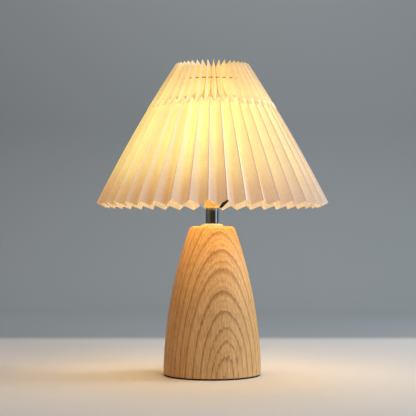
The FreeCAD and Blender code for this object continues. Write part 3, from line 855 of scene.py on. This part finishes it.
def makeBulbCap(look):
    foot, top = heightsOf(look)
    bend = look["outer"] - look["foot"]
    rows = threadRows(look, foot + bend, top)
    inside = look["outer"] - look["wall"]
    outline = [(look["foot"], foot)] + [(look["outer"], height) for height in rows]
    outline += [(inside, height) for height in reversed(rows[1:])]
    outline.append((inside, foot + bend + look["wall"] / 2))
    outline.append((look["foot"], foot + look["wall"] * math.sqrt(2)))
    cap = turned(outline, look["steps"])
    cutThread(cap, look, look["foot"])
    slot = "bulb_cap_metal"
    addPiece("bulbScrewCap", cap, bySlot[slot], "bulb", look["node"], look["sharpAngle"])


def makeRod(look):
    foot, top = heightsOf(look)
    rows = threadRows(look, foot, top)
    outline = [(look["outer"], height) for height in rows]
    outline += [(look["bore"], top), (look["bore"], foot)]
    rod = turned(outline, look["steps"])
    cutThread(rod, look, look["bore"])
    slot = "plated_steel"
    addPiece("threadedRod", rod, bySlot[slot], "stand", look["node"], look["sharpAngle"])


makeBulbCap(capLook)
makeRod(rodLook)

# Bright neck tube, round enough for clean reflections

neckLook = {
    "node": "neck_tube",
    "outer": 8.0,
    "bore": 7.0,
    "edge": 0.25,
    "straight": 0.6,
    "steps": 128,
    "sharpAngle": 30.0,
}


def makeNeck(look):
    foot, top = heightsOf(look)
    outer, bore, edge, straight = (look[name] for name in ("outer", "bore", "edge", "straight"))
    outline = [
        (outer - edge, foot),
        (outer, foot + edge),
        (outer, foot + straight),
        (outer, top - straight),
        (outer, top - edge),
        (outer - edge, top),
        (bore, top),
        (bore, foot),
    ]
    tube = turned(outline, look["steps"])
    slot = "chromed_steel"
    addPiece("neckTube", tube, bySlot[slot], "stand", look["node"], look["sharpAngle"])


makeNeck(neckLook)

for subpart in frame["record"]["subparts"]:
    node = frame["nodes"][subpart["node"]]
    if not node.hide_render:
        node.data.materials.clear()
        node.data.materials.append(bySlot[subpart["material_slot"]])
print("materials given to the CAD nodes")

# Stage, lights and camera

stageLook = {
    "floor": paint(212, 204, 199),
    "wall": paint(155, 158, 160),
    "horizon": (0.43, 0.52),  # where the colour goes over from the floor's to the wall's
    "curve": 0.45,
    "back": 1.6,
    "rise": 3.0,
    "reach": 40.0,
    "curveSteps": 24,
    "patches": {"scale": 3.0},
    "patchShare": 0.06,
    "roughness": 0.85,
    "specular": 0.2,
}


def makeStage(look):
    # A floor that curves up into a backdrop
    material, tree, place = newMaterial("stagePaper")
    behind = remapped(tree, parted(tree, place)[1], *look["horizon"], smooth=True)
    tone = mixed(tree, behind, look["floor"], look["wall"])
    patches = product(tree, noise(tree, place, **look["patches"]), look["patchShare"])
    inputs = {
        "Base Color": mixed(tree, patches, tone, look["wall"]),
        "Roughness": look["roughness"],
        "Specular IOR Level": look["specular"],
    }
    finishMaterial(tree, inputs)
    sheet = bmesh.new()
    back, bend, reach = look["back"], look["curve"], look["reach"]
    outline = [(-reach, 0.0)]
    for step in range(look["curveSteps"] + 1):
        turn = math.pi / 2 * step / look["curveSteps"]
        outline.append((back - bend + bend * math.sin(turn), bend - bend * math.cos(turn)))
    outline.append((back, look["rise"]))
    start = [sheet.verts.new((-reach, y, z)) for y, z in outline]
    edges = [sheet.edges.new(pair) for pair in zip(start, start[1:])]
    grown = bmesh.ops.extrude_edge_only(sheet, edges=edges)["geom"]
    moved = [item for item in grown if isinstance(item, bmesh.types.BMVert)]
    bmesh.ops.translate(sheet, verts=moved, vec=(2 * reach, 0, 0))
    bmesh.ops.recalc_face_normals(sheet, faces=sheet.faces)
    stage = addObject("stage", sheet, material)
    stage.data.shade_smooth()


makeStage(stageLook)

flagLook = {
    "corners": ((0.05, 0.1), (0.6, 1.1)),
    "height": 0.002,
    "colour": paint(52, 44, 36),
    "patches": {"scale": 8.0},
    "patchShade": 0.6,
    "roughness": 0.9,
}


def makeDarkFlag(look):
    # A dark card on the floor behind the lamp, which only bright metal shows
    material, tree, place = newMaterial("darkCard")
    patches = noise(tree, place, **look["patches"])
    tone = mixed(tree, patches, look["colour"], dimmed(look["colour"], look["patchShade"]))
    finishMaterial(tree, {"Base Color": tone, "Roughness": look["roughness"]})
    (left, front), (right, back) = look["corners"]
    card = bmesh.new()
    bmesh.ops.create_grid(card, x_segments=1, y_segments=1, size=0.5)
    bmesh.ops.scale(card, vec=(right - left, back - front, 1), verts=card.verts)
    middle = ((left + right) / 2, (front + back) / 2, look["height"])
    bmesh.ops.translate(card, vec=middle, verts=card.verts)
    flag = addObject("darkFlag", card, material)
    for ray in ("camera", "diffuse", "transmission", "shadow", "volume_scatter"):
        setattr(flag, "visible_" + ray, False)


makeDarkFlag(flagLook)

# Each lamp: where it stands, what it points at, width, watts and colour
lampLook = {
    "windowLight": ((1.35, 0.15, 0.75), (0, 0, 0.2), 0.8, 15.0, (0.74, 0.88, 1.0)),
    "rightLight": ((1.3, -1.5, 0.9), (0, 0, 0.2), 1.2, 17.0, (0.72, 0.87, 1.0)),
    "fillLight": ((-1.5, -1.0, 0.8), (0, 0, 0.2), 1.2, 5.0, (1.0, 0.7, 0.46)),
    "backLight": ((0.0, 0.9, 1.9), (0, 1.1, 0.3), 1.4, 15.0, (1.0, 0.98, 0.95)),
    "underShade": ((0.0, 0.0, 0.262), (0, 0, 0), 0.15, 0.74, (1.0, 0.63, 0.16)),
}
bulbLook = {"watts": 2.6, "colour": (1.0, 0.82, 0.58), "radius": 0.0315}


def addLamp(name, kind, place, target, watts, shade):
    light = bpy.data.lights.new(name, kind)
    light.energy = watts
    light.color = shade
    holder = bpy.data.objects.new(name, light)
    holder.location = place
    holder.rotation_euler = (Vector(target) - Vector(place)).to_track_quat("-Z", "Y").to_euler()
    holder.visible_camera = False
    scene.collection.objects.link(holder)
    return holder


for name, (place, target, width, watts, shade) in lampLook.items():
    lamp = addLamp(name, "AREA", place, target, watts, shade)
    lamp.data.shape = "DISK"
    lamp.data.size = width
    lamp.visible_glossy = False  # the world below is what the bright metal shows
bulbPlace, bulbTarget = shadeLook["bulb"], (0, 0, 0)
lamp = addLamp("bulbLight", "POINT", bulbPlace, bulbTarget, bulbLook["watts"], bulbLook["colour"])
lamp.data.shadow_soft_size = bulbLook["radius"]

worldLook = {
    "plain": paint(126, 129, 132),
    "bands": (
        (0.0, paint(60, 62, 64)),
        (0.2, paint(48, 46, 42)),
        (0.25, paint(104, 102, 86)),
        (0.36, paint(92, 86, 68)),
        (0.43, paint(54, 44, 33)),
        (0.62, paint(50, 42, 32)),
        (0.66, paint(70, 74, 74)),
        (0.69, paint(170, 196, 212)),
        (0.79, paint(196, 216, 230)),
        (0.83, paint(40, 56, 68)),
        (1.0, paint(60, 62, 64)),
    ),
    "strength": 1.0,
}


def makeWorld(look):
    # A plain grey straight from the camera. In reflections a dim room with one pale window.
    world = bpy.data.worlds.new("studio")
    world.use_nodes = True
    tree = world.node_tree
    tree.nodes.clear()
    direction = newNode(tree, "ShaderNodeTexCoord").outputs["Generated"]
    across, deep, _ = parted(tree, direction)
    turn = maths(tree, "ARCTAN2", across, maths(tree, "MULTIPLY", deep, -1.0))
    turn = remapped(tree, turn, -math.pi, math.pi)
    room = colourRamp(tree, turn, *look["bands"])
    rays = newNode(tree, "ShaderNodeLightPath").outputs
    plain = maths(tree, "MAXIMUM", rays["Is Camera Ray"], rays["Is Transmission Ray"])
    colour = mixed(tree, plain, room, look["plain"])
    inputs = {"Color": colour, "Strength": look["strength"]}
    background = newNode(tree, "ShaderNodeBackground", inputs)
    newNode(tree, "ShaderNodeOutputWorld", {"Surface": background.outputs[0]})
    scene.world = world


makeWorld(worldLook)

# The camera that the outline of the photograph was fitted to, a little tilted up
cameraLook = {
    "place": (-0.005, -1.359, 0.167),
    "tilt": 90 + 1.366,  # degrees from straight down
    "lens": 97.96,
    "sensor": 36.0,
}
cameraData = bpy.data.cameras.new("camera")
cameraData.lens = cameraLook["lens"]
cameraData.sensor_width = cameraLook["sensor"]
cameraData.dof.use_dof = False
camera = bpy.data.objects.new("camera", cameraData)
camera.location = cameraLook["place"]
camera.rotation_euler = Euler((math.radians(cameraLook["tilt"]), 0.0, 0.0))
scene.collection.objects.link(camera)
scene.camera = camera
scene.view_settings.view_transform = "Standard"
print("stage, lights and camera made")
